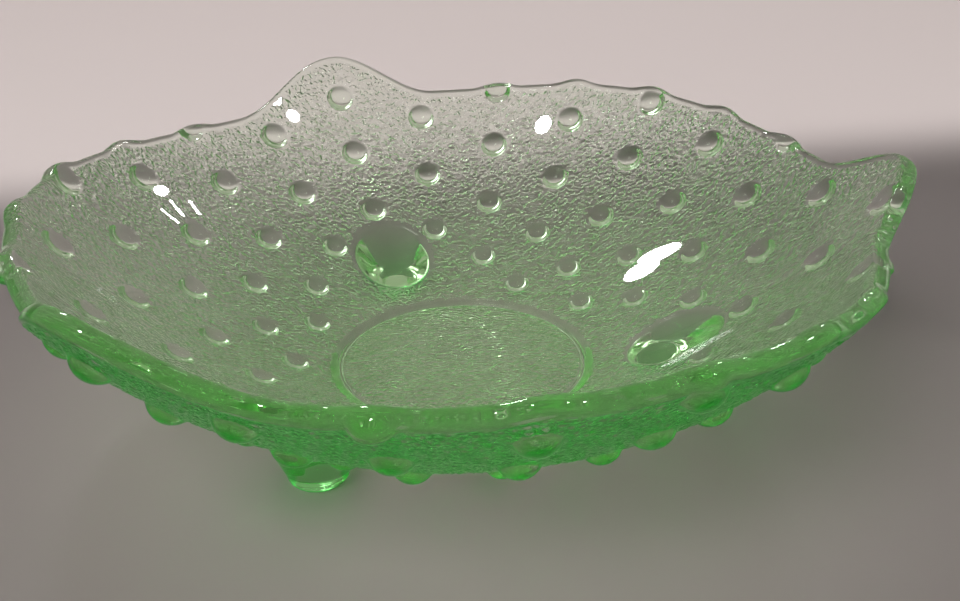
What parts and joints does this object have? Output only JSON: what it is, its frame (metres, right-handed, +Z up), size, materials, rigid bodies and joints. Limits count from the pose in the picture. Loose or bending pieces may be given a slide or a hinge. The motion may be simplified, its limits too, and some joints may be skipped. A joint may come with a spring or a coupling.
{
  "type": "footed pressed glass dish",
  "caption": "Round shallow glass dish with a three-cornered wavy rim, hobnails in staggered rows on the outside, a flat base disc and stub feet.",
  "frame": {"origin": "on the bowl's vertical axis, in the plane that the three feet stand on", "axes": "+Z up along the bowl's axis, -Y to the front, +X to the right; the feet stand at 105, 225 and 345 degrees about +Z from +X, and the rim's corners at 105, 225 and 348.5"},
  "size_m": [0.2359, 0.2355, 0.073],
  "materials": {
    "uranium_glass": "gloss inside, fine stipple outside"
  },
  "bodies": {
    "root": {"bowl_wall": "uranium_glass", "rim_edge": "uranium_glass", "base_disc": "uranium_glass", "base_ring": "uranium_glass", "foot_back": "uranium_glass", "foot_left": "uranium_glass", "foot_right": "uranium_glass", "hobnails_row_a": "uranium_glass", "hobnails_row_b": "uranium_glass", "hobnails_row_c": "uranium_glass", "hobnails_row_d": "uranium_glass", "hobnails_row_e": "uranium_glass", "hobnails_row_f": "uranium_glass", "hobnails_row_g": "uranium_glass", "hobnails_row_h": "uranium_glass"}
  },
  "joints": []
}
